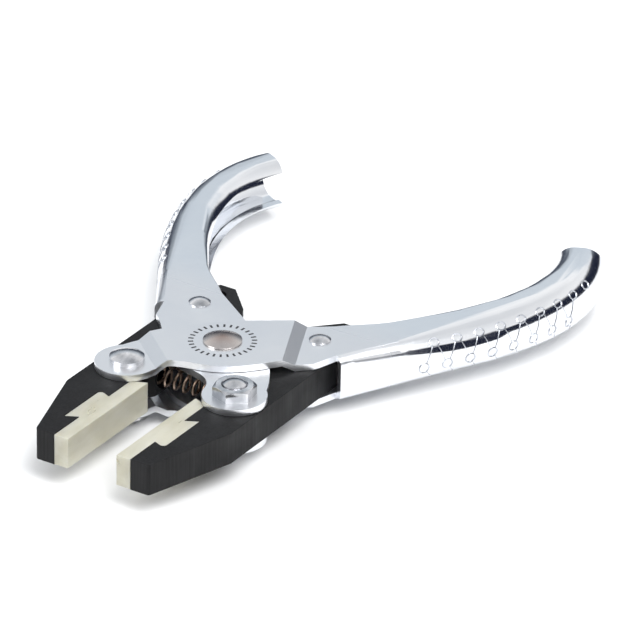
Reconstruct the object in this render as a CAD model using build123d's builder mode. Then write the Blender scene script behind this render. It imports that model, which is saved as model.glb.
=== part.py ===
"""Parallel-action pliers with soft jaw inserts, drawn fully open.

Millimetres. The origin is on the main pivot's axis, half way through the jaws.
+X points to the jaw tips, +Y to the left grip and +Z up.
Each handle crosses over at the pivot: the left grip carries the right jaw, and the right grip the left jaw.
"""

import os
from math import asin, cos, radians, sin

from build123d import *

# ---- driving dimensions ----
jaw_thickness = 6.35
plate_thickness = 1.3
layer_gap = 0.1
cut_through = 40  # longer than anything a bore passes through

pin_circle = 18.5  # from the main pivot to each jaw bolt and each slot rivet
front_angle = 40.2  # jaw bolts, off the centre line, with the pliers open
rear_angle = 46.8  # slot rivets, off the centre line, with the pliers open
closing_angle = 19.0  # each handle's swing from open to closed

jaw_tip_x = 43.1
half_opening = 5.3  # from the centre line to a gripping face
jaw_tip_y = 12.4
jaw_bend_x = 24.7  # where the outer side starts to taper
jaw_side_y = 18.2
jaw_tail = [(-19.5, 18.2), (-23.2, 15.6), (-23.2, 12.2), (-17.3, 6.6), (-15.0, 5.5), (-11.6, 5.5)]
jaw_waist = [(-8.6, 8.6), (3.6, 8.6), (4.8, 7.6), (11.2, 7.6)]  # inner side, past the pivot and the spring
jaw_shelf_x = 12.4  # where the inner side meets the insert's face
jaw_tip_round = 0.8
insert_depth = 3.05
insert_height = 6.2
insert_rear_x = 17.0
tenon_front_x = 35.0
tenon_rear_x = 25.4
tenon_depth = 2.5
tenon_sharp_hook = 1.3
tenon_round_hook = 1.0
tenon_corner_round = 0.8
insert_rear_chamfer = 1.2

eye_radius = 6.1
joggle_length = 2.3
joggle_overlap = 7.0  # the raised sheets run this far past the pivot, so that they join
joggle_width = 45.0  # each side of the heading, wider than the plate
front_joggle = 12.0  # where the outer plates step down, from the pivot towards the jaw bolt
rear_joggle = 12.1  # and towards the grip
rear_joggle_heading = 114.3
front_reach = 30.0
rear_reach = 45.0

main_rivet_radius = 2.2
spacer_radius = 2.8
main_head_radius = 3.7
main_head_height = 1.1
main_head_rim = 0.25
jaw_bolt_radius = 2.2
bolt_head_radius = 3.3
bolt_head_height = 1.7
bolt_head_rim = 0.9
nut_across_flats = 7.2
nut_height = 2.2
nut_turn = 10.0
bolt_end_height = 0.9
bolt_end_rim = 0.2
slot_rivet_radius = 1.6
slot_rivet_end_radius = 1.2
slot_head_radius = 2.1
slot_head_height = 0.9
slot_head_rim = 0.2
running_clearance = 0.05

spring_x = 8.0
spring_mean_radius = 1.9
spring_wire = 0.6
spring_turns = 10
pocket_end_y = 9.5
pocket_radius = 2.6

# ---- values that follow ----
half_jaw = jaw_thickness / 2
inner_low = half_jaw + layer_gap
inner_top = inner_low + plate_thickness
outer_low = inner_top + layer_gap
outer_top = outer_low + plate_thickness
steel_face = half_opening + insert_depth
tenon_face = steel_face + tenon_depth

front_x = pin_circle * cos(radians(front_angle))
front_y = pin_circle * sin(radians(front_angle))
rear_x = -pin_circle * cos(radians(rear_angle))
rear_y = pin_circle * sin(radians(rear_angle))
mid_angle = (rear_angle + front_angle) / 2
slot_slope = (rear_angle - front_angle) / 2
slot_travel = 2 * pin_circle * (cos(radians(mid_angle - closing_angle)) - cos(radians(mid_angle)))

# ---- handle pattern: plan points of the left grip's handle, whose front eye is on the right ----
rear_edge = [(9.6, -16.0), (1.8, -11.6), (-8.8, -1.2), (-17.4, 11.0), (-26.0, 20.6)]
front_edge = [(-4.0, 17.6), (0.9, 12.9), (6.9, 7.7), (10.0, 2.0), (11.7, -3.6), (15.4, -6.0)]
inside_web = [(-20.5, 26.0), (-9.3, 19.3)]
web_line = [(-8.4, 20.9), (-20.0, 28.0), (-33.0, 36.0), (-47.0, 41.6), (-60.5, 43.3), (-74.0, 39.8)]

station_count = 25
channel_height = 2 * inner_top
grip_height = 10.6
front_depth = 13.2
grip_depth = 9.7
front_round = 1.7
grip_round = 4.7
lip_round = 3.6
front_lip_round = 0.3
least_inside_round = 0.25
lip_half_gap = inner_low
lip_cut_width = 7.0


def mirrored(points, side):
    """Plan points of the left-hand pattern, on the given side of the centre line."""
    return [(x, side * y) for x, y in points]


def ease(value):
    """Runs from 0 to 1 with a level start and finish."""
    value = min(max(value, 0.0), 1.0)
    return value * value * (3 - 2 * value)


def grip_station(share, side):
    """The plane across the grip at a share of its length, and the channel's size there."""
    with BuildLine() as web:
        Spline(*web_line)
    place = web.line @ share
    along = web.line % share
    inward = (-along.Y, side * along.X, 0)
    plane = Plane(origin=(place.X, side * place.Y, 0), x_dir=inward, z_dir=(side * along.X, along.Y, 0))
    size = {
        "depth": front_depth + (grip_depth - front_depth) * ease(share / 0.22),
        "height": channel_height + (grip_height - channel_height) * ease((share - 0.1) / 0.7),
        "web_round": front_round + (grip_round - front_round) * ease(share / 0.42),
        "lip_round": front_lip_round + (lip_round - front_lip_round) * ease((share - 0.12) / 0.6),
    }
    return plane, size


def channel_section(size, inset):
    """A rounded rectangle across the grip: the outer skin, or the hollow one plate inside it."""
    top = size["height"] / 2 - inset
    web_round = size["web_round"] - inset
    far_round = max(size["lip_round"] - inset, least_inside_round)
    near = inset
    far = size["depth"] - inset
    bulge = 1 - cos(radians(45))
    half = [
        ("line", (near, 0), (near, top - web_round)),
        ("arc", (near, top - web_round), (near + web_round * bulge, top - web_round * bulge),
         (near + web_round, top)),
        ("line", (near + web_round, top), (far - far_round, top)),
        ("arc", (far - far_round, top), (far - far_round * bulge, top - far_round * bulge),
         (far, top - far_round)),
        ("line", (far, top - far_round), (far, 0)),
    ]
    for kind, *points in half:
        for flip in (1, -1):
            ends = [(x, flip * y) for x, y in points]
            if kind == "line":
                Line(*ends)
            else:
                ThreePointArc(*ends)


def grip_loft(side, inset):
    """The grip's outer body, or the hollow inside it."""
    with BuildPart() as body:
        for step in range(station_count):
            plane, size = grip_station(step / (station_count - 1), side)
            with BuildSketch(plane):
                with BuildLine():
                    channel_section(size, inset)
                make_face()
        loft(ruled=True)
    return body.part


def lip_loft(side):
    """The open slot between the channel's lips."""
    with BuildPart() as slot:
        for step in range(station_count):
            plane, size = grip_station(step / (station_count - 1), side)
            with BuildSketch(plane):
                with Locations((size["depth"], 0)):
                    Rectangle(lip_cut_width, 2 * lip_half_gap)
        loft(ruled=True)
    return slot.part


def plate_outline(side):
    """Plan of one handle plate: the eye, the crossing at the pivot and the root of the channel."""
    front = mirrored(front_edge, side)
    rear = mirrored(rear_edge, side)
    web = mirrored(inside_web, side)
    with BuildSketch() as outline:
        with BuildLine():
            Spline(*rear)
            Polyline(rear[-1], *web, front[0])
            Spline(*front)
            Line(front[-1], rear[0])
        make_face()
        with Locations((front_x, -side * front_y)):
            Circle(eye_radius)
    return outline.sketch


def joggled_sheet(heading, start, reach):
    """The outer plate's sheet along one heading: raised over the pivot, then down to the jaw's face."""
    along = (cos(radians(heading)), sin(radians(heading)), 0)
    across = (sin(radians(heading)), -cos(radians(heading)), 0)
    with BuildPart() as sheet:
        with BuildSketch(Plane(origin=(0, 0, 0), x_dir=along, z_dir=across)):
            with BuildLine():
                Polyline(
                    (-joggle_overlap, outer_low),
                    (start, outer_low),
                    (start + joggle_length, inner_low),
                    (reach, inner_low),
                    (reach, inner_top),
                    (start + joggle_length, inner_top),
                    (start, outer_top),
                    (-joggle_overlap, outer_top),
                    close=True,
                )
            make_face()
        extrude(amount=joggle_width, both=True)
    return sheet.part


def plate_block(side, low, high):
    """The plate's plan outline, drawn up between two heights."""
    with BuildPart() as block:
        with BuildSketch(Plane.XY.offset(low)):
            add(plate_outline(side))
        extrude(amount=high - low)
    return block.part


def finish_handle(side):
    """Adds the channel grip to a handle's plates, hollows it and drills the three holes."""
    add(grip_loft(side, 0))
    add(grip_loft(side, plate_thickness), mode=Mode.SUBTRACT)
    add(lip_loft(side), mode=Mode.SUBTRACT)
    holes = [
        ((0, 0), main_rivet_radius),
        ((front_x, -side * front_y), jaw_bolt_radius),
        ((rear_x, side * rear_y), slot_rivet_end_radius),
    ]
    for spot, radius in holes:
        with Locations(spot):
            Cylinder(radius + running_clearance, cut_through, mode=Mode.SUBTRACT)


def tenon_points(sharp_front):
    """The dovetail tenon's corners: one hooked end is sharp and the other is rounded."""
    front_hook = tenon_sharp_hook if sharp_front else tenon_round_hook
    rear_hook = tenon_round_hook if sharp_front else tenon_sharp_hook
    return [
        (tenon_front_x, steel_face),
        (tenon_front_x + front_hook, tenon_face),
        (tenon_rear_x - rear_hook, tenon_face),
        (tenon_rear_x, steel_face),
    ]


def tenon_sketch(side, sharp_front):
    """Plan of the tenon, which is also the plan of the recess in the jaw."""
    corners = tenon_points(sharp_front)
    rounded_x = corners[2][0] if sharp_front else corners[1][0]
    with BuildSketch() as tenon:
        with BuildLine():
            Polyline(*mirrored(corners, side), close=True)
        make_face()
        round_corner = tenon.vertices().sort_by_distance((rounded_x, side * tenon_face, 0))[0]
        fillet(round_corner, tenon_corner_round)
    return tenon.sketch


def jaw(side, sharp_front):
    """One steel jaw: recess for the insert, bolt bore, guide slot and spring pocket."""
    outline = [
        (jaw_tip_x, steel_face),
        (jaw_tip_x, jaw_tip_y),
        (jaw_bend_x, jaw_side_y),
        *jaw_tail,
        *jaw_waist,
        (jaw_shelf_x, steel_face),
    ]
    slot_end = slot_travel / 2
    slot_middle_x = rear_x - slot_end * cos(radians(slot_slope))
    slot_middle_y = rear_y + slot_end * sin(radians(slot_slope))
    with BuildPart() as body:
        with BuildSketch(Plane.XY.offset(-half_jaw)):
            with BuildLine():
                Polyline(*mirrored(outline, side), close=True)
            make_face()
            add(tenon_sketch(side, sharp_front), mode=Mode.SUBTRACT)
            with Locations((front_x, side * front_y)):
                Circle(jaw_bolt_radius + running_clearance, mode=Mode.SUBTRACT)
            with Locations((slot_middle_x, side * slot_middle_y)):
                SlotCenterToCenter(
                    slot_travel,
                    2 * (slot_rivet_radius + running_clearance),
                    rotation=-side * slot_slope,
                    mode=Mode.SUBTRACT,
                )
        extrude(amount=jaw_thickness)
        with Locations(Plane(origin=(spring_x, side * pocket_end_y, 0), z_dir=(0, -side, 0))):
            Cylinder(
                pocket_radius,
                pocket_end_y,
                align=(Align.CENTER, Align.CENTER, Align.MIN),
                mode=Mode.SUBTRACT,
            )
        tip_edge = body.edges().filter_by(Axis.Z).sort_by_distance((jaw_tip_x, side * jaw_tip_y, 0))[0]
        fillet(tip_edge, jaw_tip_round)
    return body.part


def insert(side, sharp_front):
    """One soft gripping pad with its tenon."""
    pad = [
        (jaw_tip_x, half_opening),
        (jaw_tip_x, steel_face),
        (insert_rear_x + insert_rear_chamfer, steel_face),
        (insert_rear_x, half_opening),
    ]
    with BuildPart() as body:
        with BuildSketch(Plane.XY.offset(-insert_height / 2)):
            with BuildLine():
                Polyline(*mirrored(pad, side), close=True)
            make_face()
            add(tenon_sketch(side, sharp_front))
        extrude(amount=insert_height)
    return body.part


def domed_head(spot, base, radius, height, rim, upward):
    """A low domed head that stands on a plate's face: a short straight rim under a spherical cap."""
    dome = height - rim
    ball = (radius**2 + dome**2) / (2 * dome)
    halfway = asin(radius / ball) / 2
    cap_middle = (ball * sin(halfway), base + height - ball * (1 - cos(halfway)))
    with BuildPart() as head:
        with BuildSketch(Plane(origin=(*spot, 0), x_dir=(1, 0, 0), z_dir=(0, -1, 0))):
            with BuildLine():
                Polyline((0, base + height), (0, base), (radius, base), (radius, base + rim))
                ThreePointArc((radius, base + rim), cap_middle, (0, base + height))
            make_face()
        revolve(axis=Axis((*spot, 0), (0, 0, 1)))
    return head.part if upward else head.part.mirror(Plane.XY)


def shank(spot, radius, low, high):
    """Adds a plain round shank between two heights."""
    with Locations((spot[0], spot[1], (low + high) / 2)):
        Cylinder(radius, high - low)


right_eye = (front_x, -front_y)
left_eye = (front_x, front_y)
bolt_end = inner_top + nut_height

# ---- left handle: outer plates, stepped down at both ends ----
with BuildPart() as left_handle:
    add(joggled_sheet(-front_angle, front_joggle, front_reach))
    add(joggled_sheet(rear_joggle_heading, rear_joggle, rear_reach))
    add(plate_block(1, inner_low, outer_top), mode=Mode.INTERSECT)
    mirror(about=Plane.XY)
    finish_handle(1)

# ---- right handle: flat plates that lie inside the left handle's ----
with BuildPart() as right_handle:
    add(plate_block(-1, inner_low, inner_top))
    mirror(about=Plane.XY)
    finish_handle(-1)

# ---- main pivot ----
with BuildPart() as main_rivet:
    head_base = outer_top + running_clearance
    shank((0, 0), main_rivet_radius, -head_base, head_base)
    add(domed_head((0, 0), head_base, main_head_radius, main_head_height, main_head_rim, True))
    add(domed_head((0, 0), head_base, main_head_radius, main_head_height, main_head_rim, False))

with BuildPart() as pivot_spacer:
    Cylinder(spacer_radius, 2 * (inner_low - running_clearance))
    Cylinder(main_rivet_radius + running_clearance, cut_through, mode=Mode.SUBTRACT)

# ---- jaw bolts and nuts: the right bolt's head is on top, the left bolt's head underneath ----
with BuildPart() as right_jaw_bolt:
    shank(right_eye, jaw_bolt_radius, -bolt_end, inner_top)
    add(domed_head(right_eye, inner_top, bolt_head_radius, bolt_head_height, bolt_head_rim, True))
    add(domed_head(right_eye, bolt_end, jaw_bolt_radius, bolt_end_height, bolt_end_rim, False))

with BuildPart() as left_jaw_bolt:
    shank(left_eye, jaw_bolt_radius, -inner_top, bolt_end)
    add(domed_head(left_eye, inner_top, bolt_head_radius, bolt_head_height, bolt_head_rim, False))
    add(domed_head(left_eye, bolt_end, jaw_bolt_radius, bolt_end_height, bolt_end_rim, True))


def jaw_nut(spot, base, turn):
    """A thin hexagonal nut, with its corners eased on the outer face."""
    with BuildPart() as body:
        with BuildSketch(Plane.XY.offset(base)):
            with Locations(spot):
                RegularPolygon(nut_across_flats / 2, 6, major_radius=False, rotation=turn)
                Circle(jaw_bolt_radius + running_clearance, mode=Mode.SUBTRACT)
        extrude(amount=nut_height)
    return body.part


with BuildPart() as right_jaw_nut:
    add(jaw_nut(right_eye, -bolt_end, nut_turn))

with BuildPart() as left_jaw_nut:
    add(jaw_nut(left_eye, inner_top, nut_turn))


def slot_rivet(side):
    """A shouldered rivet: the shoulder slides in the jaw's slot, and the ends are headed over the plates."""
    spot = (rear_x, side * rear_y)
    shoulder = inner_low - running_clearance
    with BuildPart() as body:
        shank(spot, slot_rivet_end_radius, -inner_top, inner_top)
        shank(spot, slot_rivet_radius, -shoulder, shoulder)
        add(domed_head(spot, inner_top, slot_head_radius, slot_head_height, slot_head_rim, True))
        add(domed_head(spot, inner_top, slot_head_radius, slot_head_height, slot_head_rim, False))
    return body.part


with BuildPart() as left_slot_rivet:
    add(slot_rivet(1))

with BuildPart() as right_slot_rivet:
    add(slot_rivet(-1))

# ---- jaws and their inserts ----
with BuildPart() as left_jaw:
    add(jaw(1, False))

with BuildPart() as right_jaw:
    add(jaw(-1, True))

with BuildPart() as left_insert:
    add(insert(1, False))

with BuildPart() as right_insert:
    add(insert(-1, True))

# ---- return spring: a coil between the two pockets, with its axis along Y ----
coil_half = pocket_end_y - spring_wire / 2 - running_clearance
with BuildPart() as return_spring:
    with BuildLine() as coil:
        Helix(
            pitch=2 * coil_half / spring_turns,
            height=2 * coil_half,
            radius=spring_mean_radius,
            center=(spring_x, -coil_half, 0),
            direction=(0, 1, 0),
        )
    with BuildSketch(Plane(origin=coil.line @ 0, z_dir=coil.line % 0)):
        Circle(spring_wire / 2)
    sweep(path=coil.line)

pieces = {
    "left_handle": left_handle,
    "right_handle": right_handle,
    "main_rivet": main_rivet,
    "pivot_spacer": pivot_spacer,
    "right_jaw_bolt": right_jaw_bolt,
    "right_jaw_nut": right_jaw_nut,
    "left_jaw_bolt": left_jaw_bolt,
    "left_jaw_nut": left_jaw_nut,
    "left_slot_rivet": left_slot_rivet,
    "right_slot_rivet": right_slot_rivet,
    "left_jaw": left_jaw,
    "right_jaw": right_jaw,
    "left_insert": left_insert,
    "right_insert": right_insert,
    "return_spring": return_spring,
}

os.makedirs("parts", exist_ok=True)
for name, piece in pieces.items():
    piece.part.label = name
    export_step(piece.part, f"parts/{name}.step")
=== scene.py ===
"""Studio scene of a pair of parallel-action pliers, in metres and in the CAD row frame."""

from math import atan2, cos, pi, radians, sin, sqrt, tan

import bmesh
import bpy
import numpy as np
from mathutils import Matrix, Vector
from mathutils.bvhtree import BVHTree


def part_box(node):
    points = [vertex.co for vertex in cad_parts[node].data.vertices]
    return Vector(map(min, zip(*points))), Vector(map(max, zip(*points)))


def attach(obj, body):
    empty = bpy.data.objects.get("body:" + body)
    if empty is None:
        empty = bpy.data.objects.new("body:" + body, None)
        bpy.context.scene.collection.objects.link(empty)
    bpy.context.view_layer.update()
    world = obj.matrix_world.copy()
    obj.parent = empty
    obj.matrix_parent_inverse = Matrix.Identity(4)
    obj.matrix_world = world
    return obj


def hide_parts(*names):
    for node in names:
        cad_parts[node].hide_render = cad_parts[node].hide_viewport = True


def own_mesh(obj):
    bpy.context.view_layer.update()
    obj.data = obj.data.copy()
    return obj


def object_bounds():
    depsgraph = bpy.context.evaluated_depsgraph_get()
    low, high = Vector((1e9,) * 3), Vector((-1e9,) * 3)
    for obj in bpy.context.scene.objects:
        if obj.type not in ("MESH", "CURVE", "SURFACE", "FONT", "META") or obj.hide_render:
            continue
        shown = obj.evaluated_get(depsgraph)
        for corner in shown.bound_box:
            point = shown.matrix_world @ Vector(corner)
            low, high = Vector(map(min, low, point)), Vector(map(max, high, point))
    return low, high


MM = 0.001

# Edge rounds
STEEL_EDGE = 0.25 * MM
JAW_EDGE = 0.22 * MM
PAD_EDGE = 0.12 * MM
MERGE_DISTANCE = 1e-6
COPLANAR_ANGLE = 2
SHARP_ANGLE = 28
SMOOTH_ANGLE = 32
WIRE_SMOOTH_ANGLE = 50
NUT_SMOOTH_ANGLE = 20

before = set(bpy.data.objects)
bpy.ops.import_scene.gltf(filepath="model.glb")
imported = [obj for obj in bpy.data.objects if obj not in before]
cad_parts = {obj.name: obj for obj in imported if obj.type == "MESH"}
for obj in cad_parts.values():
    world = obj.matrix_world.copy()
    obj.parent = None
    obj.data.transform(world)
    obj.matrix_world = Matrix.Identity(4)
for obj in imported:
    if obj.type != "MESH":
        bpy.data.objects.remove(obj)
cad_low, cad_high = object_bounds()


# ---------------------------------------------------------------- materials
def new_material(name, color, metallic, roughness):
    """A node material whose shader starts with plain constants on its sockets."""
    material = bpy.data.materials.new(name)
    material.use_nodes = True
    shader = material.node_tree.nodes["Principled BSDF"]
    shader.inputs["Base Color"].default_value = (*color, 1)
    shader.inputs["Metallic"].default_value = metallic
    shader.inputs["Roughness"].default_value = roughness
    return material, material.node_tree.nodes, material.node_tree.links, shader


def stretched_noise(nodes, links, stretch, scale, detail=4.0):
    """Noise in object space, drawn out along the axes with small factors. Its Fac socket."""
    place = nodes.new("ShaderNodeTexCoord")
    mapping = nodes.new("ShaderNodeMapping")
    mapping.inputs["Scale"].default_value = stretch
    noise = nodes.new("ShaderNodeTexNoise")
    noise.inputs["Scale"].default_value = scale
    noise.inputs["Detail"].default_value = detail
    links.new(place.outputs["Object"], mapping.inputs["Vector"])
    links.new(mapping.outputs["Vector"], noise.inputs["Vector"])
    return noise.outputs["Fac"]


def ramp_into(nodes, links, source, target, low, high, start=0.3, end=0.7):
    """Feeds a socket with a value that runs from low to high as the source goes from start to end."""
    spread = nodes.new("ShaderNodeMapRange")
    spread.inputs["From Min"].default_value = start
    spread.inputs["From Max"].default_value = end
    spread.inputs["To Min"].default_value = low
    spread.inputs["To Max"].default_value = high
    links.new(source, spread.inputs["Value"])
    links.new(spread.outputs["Result"], target)


def tint_into(nodes, links, source, target, low, high, start=0.3, end=0.7):
    """Feeds a colour socket with a mix of two colours."""
    ramp = nodes.new("ShaderNodeValToRGB")
    ramp.color_ramp.elements[0].position = start
    ramp.color_ramp.elements[1].position = end
    ramp.color_ramp.elements[0].color = (*low, 1)
    ramp.color_ramp.elements[1].color = (*high, 1)
    links.new(source, ramp.inputs["Fac"])
    links.new(ramp.outputs["Color"], target)


def bump_into(nodes, links, source, shader, strength, distance):
    """Feeds the shader's normal with a shallow bump."""
    bump = nodes.new("ShaderNodeBump")
    bump.inputs["Strength"].default_value = strength
    bump.inputs["Distance"].default_value = distance
    links.new(source, bump.inputs["Height"])
    links.new(bump.outputs["Normal"], shader.inputs["Normal"])


def plated_sheet():
    """Bright zinc plating: satin on the flat plates, glossier out along the grips."""
    material, nodes, links, shader = new_material("plated_sheet", (0.86, 0.875, 0.9), 1.0, 0.2)
    place = nodes.new("ShaderNodeTexCoord")
    split = nodes.new("ShaderNodeSeparateXYZ")
    links.new(place.outputs["Object"], split.inputs["Vector"])
    grip_end, plate_start = -26 * MM, -16 * MM
    ramp_into(nodes, links, split.outputs["X"], shader.inputs["Roughness"], 0.13, 0.3, grip_end, plate_start)
    cloud = stretched_noise(nodes, links, (1, 1, 1), 90, 5)
    tint_into(nodes, links, cloud, shader.inputs["Base Color"], (0.83, 0.85, 0.885), (0.89, 0.9, 0.92))
    grain = stretched_noise(nodes, links, (1, 1, 1), 900, 2)
    bump_into(nodes, links, grain, shader, 0.25, 0.00004)
    return material


def bright_fastener():
    """Bright plating on bolts, nuts and rivets, a little cloudy."""
    material, nodes, links, shader = new_material("bright_fastener", (0.84, 0.83, 0.82), 1.0, 0.14)
    cloud = stretched_noise(nodes, links, (1, 1, 1), 330, 3)
    tint_into(
        nodes, links, cloud, shader.inputs["Base Color"],
        (0.42, 0.43, 0.45), (0.8, 0.8, 0.82), 0.35, 0.65,
    )
    ramp_into(nodes, links, cloud, shader.inputs["Roughness"], 0.09, 0.22)
    bump_into(nodes, links, cloud, shader, 0.2, 0.00005)
    return material


def rivet_steel():
    """Polished rivet: coppery in the middle of its head and bright at the rim."""
    material, nodes, links, shader = new_material("rivet_steel", (0.62, 0.52, 0.47), 1.0, 0.2)
    place = nodes.new("ShaderNodeTexCoord")
    flatten = nodes.new("ShaderNodeMapping")
    flatten.inputs["Scale"].default_value = (1, 1, 0)
    length = nodes.new("ShaderNodeVectorMath")
    length.operation = "LENGTH"
    links.new(place.outputs["Object"], flatten.inputs["Vector"])
    links.new(flatten.outputs["Vector"], length.inputs[0])
    warp = stretched_noise(nodes, links, (1, 1, 1), 500, 3)
    wander = nodes.new("ShaderNodeMath")
    wander.operation = "MULTIPLY_ADD"
    wander.inputs[1].default_value = 0.0012
    links.new(warp, wander.inputs[0])
    links.new(length.outputs["Value"], wander.inputs[2])
    tint_into(
        nodes, links, wander.outputs["Value"], shader.inputs["Base Color"],
        (0.22, 0.14, 0.115), (0.86, 0.84, 0.82), 0.0034, 0.0043,
    )
    ramp_into(nodes, links, warp, shader.inputs["Roughness"], 0.14, 0.3)
    return material


def black_steel():
    """Matte black oxide with fine grinding marks that run up and down."""
    material, nodes, links, shader = new_material("black_steel", (0.010, 0.010, 0.011), 0.0, 0.55)
    marks = stretched_noise(nodes, links, (1, 1, 0.03), 2600, 3)
    cloud = stretched_noise(nodes, links, (1, 1, 1), 160, 4)
    tint_into(
        nodes, links, marks, shader.inputs["Base Color"],
        (0.004, 0.004, 0.0043), (0.012, 0.012, 0.013),
    )
    ramp_into(nodes, links, cloud, shader.inputs["Roughness"], 0.46, 0.64)
    bump_into(nodes, links, marks, shader, 0.35, 0.00005)
    shader.inputs["Specular IOR Level"].default_value = 0.2
    return material


def soft_pad():
    """Cast polyurethane: pale, cloudy and a little translucent."""
    material, nodes, links, shader = new_material("soft_pad", (0.66, 0.63, 0.49), 0.0, 0.3)
    cloud = stretched_noise(nodes, links, (0.35, 1, 1), 300, 4)
    tint_into(nodes, links, cloud, shader.inputs["Base Color"], (0.58, 0.555, 0.43), (0.77, 0.75, 0.64))
    ramp_into(nodes, links, cloud, shader.inputs["Roughness"], 0.26, 0.42)
    shader.inputs["IOR"].default_value = 1.49
    shader.inputs["Transmission Weight"].default_value = 0.4
    shader.inputs["Subsurface Weight"].default_value = 0.3
    shader.inputs["Subsurface Radius"].default_value = (1.0, 0.9, 0.6)
    shader.inputs["Subsurface Scale"].default_value = 0.003
    bump_into(nodes, links, cloud, shader, 0.2, 0.0001)
    return material


def spring_wire():
    """Dark oiled wire."""
    material, nodes, links, shader = new_material("spring_wire", (0.3, 0.21, 0.15), 1.0, 0.32)
    cloud = stretched_noise(nodes, links, (1, 1, 1), 1400, 3)
    tint_into(nodes, links, cloud, shader.inputs["Base Color"], (0.2, 0.13, 0.09), (0.42, 0.32, 0.25))
    ramp_into(nodes, links, cloud, shader.inputs["Roughness"], 0.24, 0.42)
    return material


def relief_painted_shade():
    """The plating on the embossed pattern, given a darker base colour than the sheet as painted shade, so
    the rings read as grey outlines.
    """
    # Darker base colour than plated_sheet: painted shade along the embossed rings
    material, nodes, links, shader = new_material("relief_painted_shade", (0.6, 0.62, 0.66), 1.0, 0.3)
    cloud = stretched_noise(nodes, links, (1, 1, 1), 900, 3)
    tint_into(nodes, links, cloud, shader.inputs["Base Color"], (0.46, 0.48, 0.52), (0.66, 0.68, 0.72))
    return material


def painted_tick_shade():
    """Near-black fill of a stamped mark: painted shade standing in for its recess."""
    # Near-black base colour: painted shade of a stamped recess
    material, nodes, links, shader = new_material("stamped_mark", (0.07, 0.07, 0.08), 0.3, 0.55)
    cloud = stretched_noise(nodes, links, (1, 1, 1), 2000, 3)
    tint_into(nodes, links, cloud, shader.inputs["Base Color"], (0.01, 0.01, 0.012), (0.05, 0.05, 0.055))
    return material


def pale_floor():
    """A plain matte backdrop."""
    material, nodes, links, shader = new_material("pale_floor", (0.9, 0.9, 0.9), 0.0, 0.75)
    cloud = stretched_noise(nodes, links, (1, 1, 1), 6, 3)
    tint_into(nodes, links, cloud, shader.inputs["Base Color"], (0.885, 0.887, 0.89), (0.9, 0.9, 0.9))
    return material


finishes = {
    "plated_sheet": plated_sheet(),
    "bright_fastener": bright_fastener(),
    "rivet_steel": rivet_steel(),
    "black_steel": black_steel(),
    "soft_pad": soft_pad(),
    "spring_wire": spring_wire(),
}
tick_shade_finish = painted_tick_shade()
# The relief material carries painted shade for the embossed grip rings
relief_shade_finish = relief_painted_shade()

node_slots = {
    "left_handle": "plated_sheet",
    "right_handle": "plated_sheet",
    "main_rivet": "rivet_steel",
    "pivot_spacer": "bright_fastener",
    "right_jaw_bolt": "bright_fastener",
    "right_jaw_nut": "bright_fastener",
    "left_jaw_bolt": "bright_fastener",
    "left_jaw_nut": "bright_fastener",
    "left_slot_rivet": "bright_fastener",
    "right_slot_rivet": "bright_fastener",
    "left_jaw": "black_steel",
    "right_jaw": "black_steel",
    "left_insert": "soft_pad",
    "right_insert": "soft_pad",
    "return_spring": "spring_wire",
}


def paint(obj, finish):
    obj.data.materials.clear()
    obj.data.materials.append(finish)


for node, slot in node_slots.items():
    paint(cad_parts[node], finishes[slot])


def smooth(obj, angle=SMOOTH_ANGLE):
    """Smooth shading, with edges sharper than the angle kept crisp."""
    limit = cos(radians(angle))
    mesh = obj.data
    mesh.shade_smooth()
    bm = bmesh.new()
    bm.from_mesh(mesh)
    bm.normal_update()
    for edge in bm.edges:
        faces = edge.link_faces
        edge.smooth = len(faces) == 2 and faces[0].normal.dot(faces[1].normal) > limit
    bm.to_mesh(mesh)
    bm.free()


def apply_modifiers(obj):
    evaluated = obj.evaluated_get(bpy.context.evaluated_depsgraph_get())
    made = bpy.data.meshes.new_from_object(evaluated)
    obj.modifiers.clear()
    obj.data = made


def even_normals(obj):
    """Keeps flat faces flat in reflections: each corner takes its normal from the large faces round it."""
    weighted = obj.modifiers.new("even", "WEIGHTED_NORMAL")
    weighted.mode = "FACE_AREA"
    weighted.weight = 100
    weighted.thresh = 0.0
    weighted.keep_sharp = True
    apply_modifiers(obj)


def add_mesh(name, points, faces, finish):
    mesh = bpy.data.meshes.new(name)
    mesh.from_pydata([tuple(p) for p in points], [], faces)
    mesh.validate()
    obj = bpy.data.objects.new(name, mesh)
    bpy.context.scene.collection.objects.link(obj)
    paint(obj, finish)
    return obj


def softened(node, name, width, body):
    """A copy of a CAD node with its sharp edges broken by a small round, which stands for that node."""
    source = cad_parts[node]
    mesh = source.data.copy()
    obj = bpy.data.objects.new(name, mesh)
    bpy.context.scene.collection.objects.link(obj)
    bm = bmesh.new()
    bm.from_mesh(mesh)
    bmesh.ops.remove_doubles(bm, verts=bm.verts, dist=MERGE_DISTANCE)
    bmesh.ops.dissolve_limit(
        bm, angle_limit=radians(COPLANAR_ANGLE), verts=bm.verts, edges=bm.edges, delimit={"NORMAL"}
    )
    bm.to_mesh(mesh)
    bm.free()
    if mesh.has_custom_normals:
        mesh.attributes.remove(mesh.attributes["custom_normal"])
    bevel = obj.modifiers.new("edges", "BEVEL")
    bevel.width = width
    bevel.segments = 3
    bevel.limit_method = "ANGLE"
    bevel.angle_limit = radians(SHARP_ANGLE)
    bevel.harden_normals = False
    apply_modifiers(obj)
    smooth(obj)
    even_normals(obj)
    paint(obj, finishes[node_slots[node]])
    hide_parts(node)
    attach(obj, body)
    return obj


softened("left_jaw", "left_jaw_body", JAW_EDGE, "left_jaw")
softened("right_jaw", "right_jaw_body", JAW_EDGE, "right_jaw")
handles = {
    "left_handle": softened("left_handle", "left_handle_pressing", STEEL_EDGE, "left_handle"),
    "right_handle": softened("right_handle", "right_handle_pressing", STEEL_EDGE, "right_handle"),
}
softened("left_insert", "left_insert_pad", PAD_EDGE, "left_jaw")
softened("right_insert", "right_insert_pad", PAD_EDGE, "right_jaw")


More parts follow.
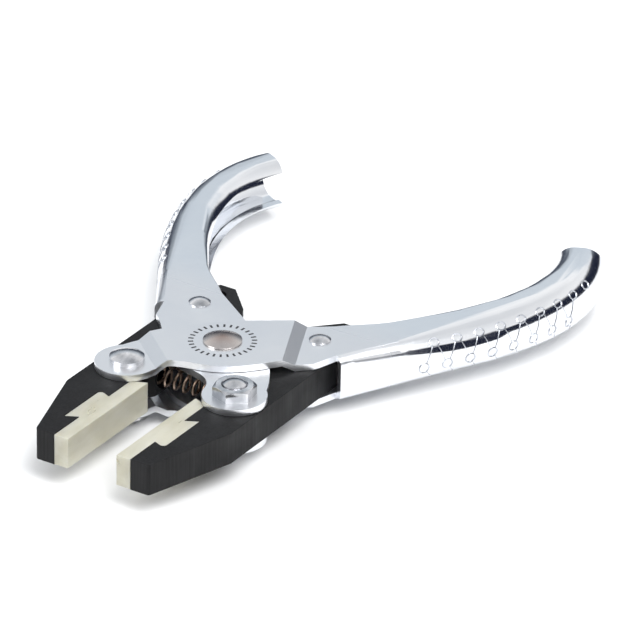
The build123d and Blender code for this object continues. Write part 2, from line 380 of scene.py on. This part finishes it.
# ---------------------------------------------------------------- return spring
def tube(name, path, radius, sides, finish):
    """A round wire swept along a list of points."""
    points = np.array(path, float)
    count = len(points)
    tangent = np.gradient(points, axis=0)
    tangent /= np.linalg.norm(tangent, axis=1)[:, None]
    side = np.cross(tangent[0], (0.0, 0.0, 1.0))
    if np.linalg.norm(side) < 1e-6:
        side = np.cross(tangent[0], (0.0, 1.0, 0.0))
    side /= np.linalg.norm(side)
    ring_points = []
    for step in range(count):
        side = side - tangent[step] * (side @ tangent[step])
        side /= np.linalg.norm(side)
        other = np.cross(tangent[step], side)
        for turn in range(sides):
            angle = 2 * pi * turn / sides
            ring_points.append(points[step] + radius * (cos(angle) * side + sin(angle) * other))
    faces = []
    for step in range(count - 1):
        following = step + 1
        for turn in range(sides):
            nxt = (turn + 1) % sides
            faces.append((
                step * sides + turn, step * sides + nxt,
                following * sides + nxt, following * sides + turn,
            ))
    faces.append(tuple(reversed(range(sides))))
    faces.append(tuple((count - 1) * sides + turn for turn in range(sides)))
    obj = add_mesh(name, ring_points, faces, finish)
    smooth(obj, WIRE_SMOOTH_ANGLE)
    return obj


def spring_coil():
    """The compression spring, with closed end coils, between the two jaws' pockets."""
    low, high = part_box("return_spring")
    centre = (low + high) / 2
    wire = 0.3 * MM
    mean = (high.x - low.x) / 2 - wire
    half = (high.y - low.y) / 2 - wire
    turns, closed_turns, steps = 10.0, 0.9, 480
    closed_rise = 2.05 * wire  # one turn of a closed end coil
    active = (2 * half - 2 * closed_rise * closed_turns) / (turns - 2 * closed_turns)
    path = []
    for step in range(steps + 1):
        turn = turns * step / steps
        if turn < closed_turns:
            rise = closed_rise * turn
        elif turn > turns - closed_turns:
            rise = 2 * half - closed_rise * (turns - turn)
        else:
            rise = closed_rise * closed_turns + active * (turn - closed_turns)
        angle = 2 * pi * turn
        path.append((centre.x + mean * cos(angle), centre.y - half + rise, centre.z + mean * sin(angle)))
    coil = tube("return_spring_coil", path, wire, 12, finishes["spring_wire"])
    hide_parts("return_spring")
    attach(coil, "right_jaw")
    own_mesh(coil)


spring_coil()

# ---------------------------------------------------------------- hexagonal nuts
def hex_nut(node, name, body, outward):
    """A nut with its outer corners chamfered to a circle, built as rings from the bore outwards."""
    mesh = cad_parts[node].data
    low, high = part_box(node)
    centre = (low + high) / 2
    spread = [(v.co.x - centre.x, v.co.y - centre.y) for v in mesh.vertices]
    corner = max(spread, key=lambda p: p[0] ** 2 + p[1] ** 2)
    corner_angle = atan2(corner[1], corner[0])
    corner_radius = sqrt(corner[0] ** 2 + corner[1] ** 2)
    flat_radius = corner_radius * cos(pi / 6)
    bore = min(sqrt(x * x + y * y) for x, y in spread)
    height = high.z - low.z
    base = low.z if outward > 0 else high.z
    sides, points, faces = 144, [], []
    chamfer_start = flat_radius * 0.965
    chamfer_slope = tan(radians(30))

    def ring(radius_at, height_at):
        for turn in range(sides):
            angle = 2 * pi * turn / sides
            radius = radius_at(angle)
            points.append((
                centre.x + radius * cos(angle + corner_angle),
                centre.y + radius * sin(angle + corner_angle),
                base + outward * height_at(radius),
            ))

    def hexagon(angle):
        return flat_radius / cos((angle % (pi / 3)) - pi / 6)

    def chamfered(radius):
        return height - max(0.0, radius - chamfer_start) * chamfer_slope

    def plain(radius):
        return height

    def nothing(radius):
        return 0.0

    bevel = 0.25 * MM
    ring(lambda angle: bore, nothing)
    ring(lambda angle: bore, lambda radius: height - bevel)
    ring(lambda angle: bore + bevel, plain)
    ring(lambda angle: chamfer_start, plain)
    ring(lambda angle: chamfer_start + (hexagon(angle) - chamfer_start) * 0.5, chamfered)
    ring(hexagon, chamfered)
    ring(hexagon, nothing)
    rings = len(points) // sides
    for level in range(rings):
        for turn in range(sides):
            nxt = (turn + 1) % sides
            after = (level + 1) % rings
            faces.append((
                level * sides + turn, level * sides + nxt, after * sides + nxt, after * sides + turn,
            ))
    obj = add_mesh(name, points, faces, finishes["bright_fastener"])
    bm = bmesh.new()
    bm.from_mesh(obj.data)
    bmesh.ops.recalc_face_normals(bm, faces=bm.faces)
    bm.to_mesh(obj.data)
    bm.free()
    smooth(obj, NUT_SMOOTH_ANGLE)
    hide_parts(node)
    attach(obj, body)


hex_nut("left_jaw_nut", "left_jaw_hex_nut", "right_handle", 1)
hex_nut("right_jaw_nut", "right_jaw_hex_nut", "left_handle", -1)


# ---------------------------------------------------------------- ring of stamped ticks round the pivot
rivet_head_height, rivet_clearance = 1.1 * MM, 0.05 * MM
plate_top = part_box("main_rivet")[1].z - rivet_head_height - rivet_clearance


def casts_on(obj):
    """A tree of the object's faces, for casting rays at it."""
    bm = bmesh.new()
    bm.from_mesh(obj.data)
    tree = BVHTree.FromBMesh(bm)
    bm.free()
    return tree


def pivot_ticks():
    """Short radial ticks, which stand a hair above the plate so that the dark marks, painted shade of the
    stamped recesses, read clearly.
    """
    tree = casts_on(handles["left_handle"])
    inner, outer, half_width, proud = 5.5 * MM, 6.5 * MM, 0.2 * MM, 0.02 * MM
    count, sunk, probe_height = 30, 0.05 * MM, 20 * MM
    points, faces = [], []
    for tick in range(count):
        angle = 2 * pi * (tick + 0.5) / count
        along = Vector((cos(angle), sin(angle), 0))
        across = Vector((-sin(angle), cos(angle), 0))
        corners = [along * r + across * w for r, w in (
            (inner, -half_width), (outer, -half_width), (outer, half_width), (inner, half_width))]
        probe = along * (outer + 0.5 * MM) + Vector((0, 0, probe_height))
        hit = tree.ray_cast(probe, Vector((0, 0, -1)))[0]
        if hit is None or hit.z < plate_top - sunk:
            continue
        first = len(points)
        points += [c + Vector((0, 0, plate_top - sunk)) for c in corners]
        points += [c * 0.995 + Vector((0, 0, plate_top + proud)) for c in corners]
        faces += [tuple(first + i for i in face) for face in (
            (4, 5, 6, 7), (0, 1, 5, 4), (1, 2, 6, 5), (2, 3, 7, 6), (3, 0, 4, 7), (3, 2, 1, 0))]
    ticks = add_mesh("pivot_ticks", points, faces, tick_shade_finish)
    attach(ticks, "left_handle")


pivot_ticks()


# ---------------------------------------------------------------- embossed grips
web_line = [(-8.4, 20.9), (-20.0, 28.0), (-33.0, 36.0), (-47.0, 41.6), (-60.5, 43.3), (-74.0, 39.8)]


def smooth_line(points, steps):
    """A cubic curve through plan points, as evenly spaced samples in metres."""
    p = np.array([points[0]] + points + [points[-1]], float) * MM
    p[0] = 2 * p[1] - p[2]
    p[-1] = 2 * p[-2] - p[-3]
    dense = []
    for i in range(1, len(p) - 2):
        for t in np.linspace(0, 1, 60, endpoint=False):
            a, b, c, d = p[i - 1], p[i], p[i + 1], p[i + 2]
            dense.append(0.5 * (
                2 * b + (c - a) * t + (2 * a - 5 * b + 4 * c - d) * t**2 + (3 * b - a - 3 * c + d) * t**3))
    dense.append(p[-2])
    dense = np.array(dense)
    run = np.concatenate([[0], np.cumsum(np.linalg.norm(np.diff(dense, axis=0), axis=1))])
    even = np.linspace(0, run[-1], steps)
    return np.stack([np.interp(even, run, dense[:, k]) for k in (0, 1)], 1), run[-1]


def grip_pattern(node, side):
    """Two staggered rows of embossed rings, joined by short links, along the outside of a grip."""
    tree = casts_on(handles[node])
    line, length = smooth_line(web_line, 400)
    bend_low, bend_radius, core_depth, probe_reach = 1.6 * MM, 4.6 * MM, 4.2 * MM, 14 * MM

    def on_skin(along, up):
        """The skin's point and normal, at a distance along the grip and a distance up from its middle."""
        place = along / length * (len(line) - 1)
        i = int(min(max(place, 1), len(line) - 2))
        spot = line[i] + (line[i + 1] - line[i]) * (place - i)
        ahead = line[i + 1] - line[i - 1]
        ahead /= np.linalg.norm(ahead)
        out = Vector((ahead[1], -side * ahead[0], 0))
        tilt = max(0.0, up - bend_low) / bend_radius
        aim = Vector((out.x * cos(tilt), out.y * cos(tilt), sin(tilt)))
        core = Vector((spot[0], side * spot[1], min(up, bend_low))) - out * core_depth
        start = core + aim * probe_reach
        return tree.ray_cast(start, -aim)[:2]

    ring_wire, link_wire, ring_radius, pitch = 0.14 * MM, 0.08 * MM, 1.0 * MM, 4.9 * MM
    proud = 0.03 * MM
    paths = []

    def ring_at(along, up):
        steps = 30
        turns = [2 * pi * k / steps for k in range(steps + 1)]
        paths.append((ring_wire, [(along + ring_radius * cos(a), up + ring_radius * sin(a)) for a in turns]))

    def link(a, b):
        paths.append((link_wire, [(a[0] + (b[0] - a[0]) * k / 8, a[1] + (b[1] - a[1]) * k / 8)
                                  for k in range(9)]))

    upper, lower, first = 4.0 * MM, -1.1 * MM, 17.4 * MM
    for index in range(9):
        low_at = first + pitch * index
        high_at = low_at + pitch / 2
        if index < 8:
            ring_at(low_at, lower)
            link((low_at + 0.5 * MM, lower + 0.9 * MM), (high_at - 0.6 * MM, upper - 0.85 * MM))
            link((low_at + 0.6 * MM, lower - 0.85 * MM), (low_at + 1.7 * MM, lower - 2.3 * MM))
        ring_at(high_at, upper)
        if index < 7:
            link((high_at + 0.6 * MM, upper - 0.85 * MM), (low_at + pitch - 0.5 * MM, lower + 0.9 * MM))
    made = []
    for wire, path in paths:
        skin = [on_skin(*p) for p in path]
        skin = [(p, n) for p, n in skin if p is not None]
        if len(skin) < 3:
            continue
        made.append((wire, [tuple(p + n * proud) for p, n in skin]))
    bm = bmesh.new()
    for wire, path in made:
        bead = tube(node + "_bead", path, wire, 6, relief_shade_finish)
        bm.from_mesh(bead.data)
        bpy.data.objects.remove(bead)
    mesh = bpy.data.meshes.new(node + "_pattern")
    bm.to_mesh(mesh)
    bm.free()
    for v in mesh.vertices:
        for axis in range(3):
            v.co[axis] = min(max(v.co[axis], cad_low[axis]), cad_high[axis])
    pattern = bpy.data.objects.new(node + "_grip_pattern", mesh)
    bpy.context.scene.collection.objects.link(pattern)
    paint(pattern, relief_shade_finish)
    mesh.shade_smooth()
    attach(pattern, node)


grip_pattern("left_handle", 1)
grip_pattern("right_handle", -1)

# ---------------------------------------------------------------- studio
floor_low = cad_low.z - 0.02 * MM
floor = add_mesh(
    "floor",
    [(-1.5, -1.5, floor_low), (1.5, -1.5, floor_low), (1.5, 1.5, floor_low), (-1.5, 1.5, floor_low)],
    [(0, 1, 2, 3)],
    pale_floor(),
)

world = bpy.data.worlds.new("studio")
bpy.context.scene.world = world
world.use_nodes = True
world_nodes, world_links = world.node_tree.nodes, world.node_tree.links
sky = world_nodes["Background"]
sky.inputs["Strength"].default_value = 0.8
sky_place = world_nodes.new("ShaderNodeTexCoord")
sky_axes = world_nodes.new("ShaderNodeSeparateXYZ")
world_links.new(sky_place.outputs["Generated"], sky_axes.inputs["Vector"])
sky_height = world_nodes.new("ShaderNodeMapRange")
sky_height.inputs["From Min"].default_value = -1
world_links.new(sky_axes.outputs["Z"], sky_height.inputs["Value"])


def sky_bands(levels):
    """A colour for each height in the sky, from the nadir at 0 to the zenith at 1."""
    bands = world_nodes.new("ShaderNodeValToRGB")
    elements = bands.color_ramp.elements
    while len(elements) < len(levels):
        elements.new(0.5)
    for element, (height, tone) in zip(elements, levels):
        element.position = height
        element.color = (*tone, 1)
    world_links.new(sky_height.outputs["Result"], bands.inputs["Fac"])
    return bands.outputs["Color"]


right_sky = sky_bands([
    (0.0, (0.85, 0.86, 0.88)),
    (0.495, (0.95, 0.96, 0.98)),
    (0.51, (0.05, 0.06, 0.09)),
    (0.6, (0.12, 0.14, 0.18)),
    (0.67, (0.5, 0.55, 0.6)),
    (0.715, (0.8, 0.87, 0.94)),
    (0.745, (0.84, 0.92, 0.99)),
    (0.79, (1.3, 1.3, 1.3)),
    (1.0, (0.8, 0.83, 0.87)),
])
left_sky = sky_bands([
    (0.0, (0.85, 0.86, 0.88)),
    (0.49, (0.95, 0.96, 0.98)),
    (0.5, (0.012, 0.016, 0.035)),
    (0.69, (0.02, 0.025, 0.05)),
    (0.725, (1.25, 1.25, 1.25)),
    (1.0, (0.85, 0.87, 0.9)),
])
sky_side = world_nodes.new("ShaderNodeMapRange")
sky_side.inputs["From Min"].default_value = -0.2
sky_side.inputs["From Max"].default_value = 0.1
world_links.new(sky_axes.outputs["Y"], sky_side.inputs["Value"])
sky_mix = world_nodes.new("ShaderNodeMix")
sky_mix.data_type = "RGBA"
world_links.new(sky_side.outputs["Result"], sky_mix.inputs[0])
world_links.new(right_sky, sky_mix.inputs[6])
world_links.new(left_sky, sky_mix.inputs[7])
world_links.new(sky_mix.outputs[2], sky.inputs["Color"])


def softbox(name, spot, aim, size, power):
    """A rectangular area light, aimed at a point."""
    light = bpy.data.lights.new(name, "AREA")
    light.shape = "RECTANGLE"
    light.size, light.size_y = size
    light.energy = power
    obj = bpy.data.objects.new(name, light)
    obj.location = Vector(spot)
    obj.rotation_mode = "QUATERNION"
    obj.rotation_quaternion = (Vector(aim) - Vector(spot)).to_track_quat("-Z", "Y")
    bpy.context.scene.collection.objects.link(obj)


focus = (-0.02, 0.0, 0.0)
softbox("key", (0.15, 0.35, 0.6), focus, (0.5, 0.5), 5.0)
softbox("fill", (0.5, -0.35, 0.35), focus, (0.4, 0.4), 2.0)

# ---------------------------------------------------------------- camera
view_turn, view_height, view_roll = radians(122.05), radians(27.87), radians(1.03)
view_target = Vector((-26.75, 4.60, 0)) * MM
view_distance = 1192.2 * MM
back = Vector((sin(view_turn) * cos(view_height), -cos(view_turn) * cos(view_height), sin(view_height)))
level_right = Vector((0, 0, 1)).cross(back).normalized()
level_up = back.cross(level_right)
right = level_right * cos(view_roll) + level_up * sin(view_roll)
up = level_up * cos(view_roll) - level_right * sin(view_roll)

camera_data = bpy.data.cameras.new("camera")
camera_data.sensor_width = 36
camera_data.lens = 353.5
camera_data.clip_start, camera_data.clip_end = 0.05, 10
camera = bpy.data.objects.new("camera", camera_data)
camera.matrix_world = Matrix((
    (right.x, up.x, back.x, view_target.x + back.x * view_distance),
    (right.y, up.y, back.y, view_target.y + back.y * view_distance),
    (right.z, up.z, back.z, view_target.z + back.z * view_distance),
    (0, 0, 0, 1),
))
bpy.context.scene.collection.objects.link(camera)
bpy.context.scene.camera = camera
bpy.context.scene.view_settings.view_transform = "Standard"
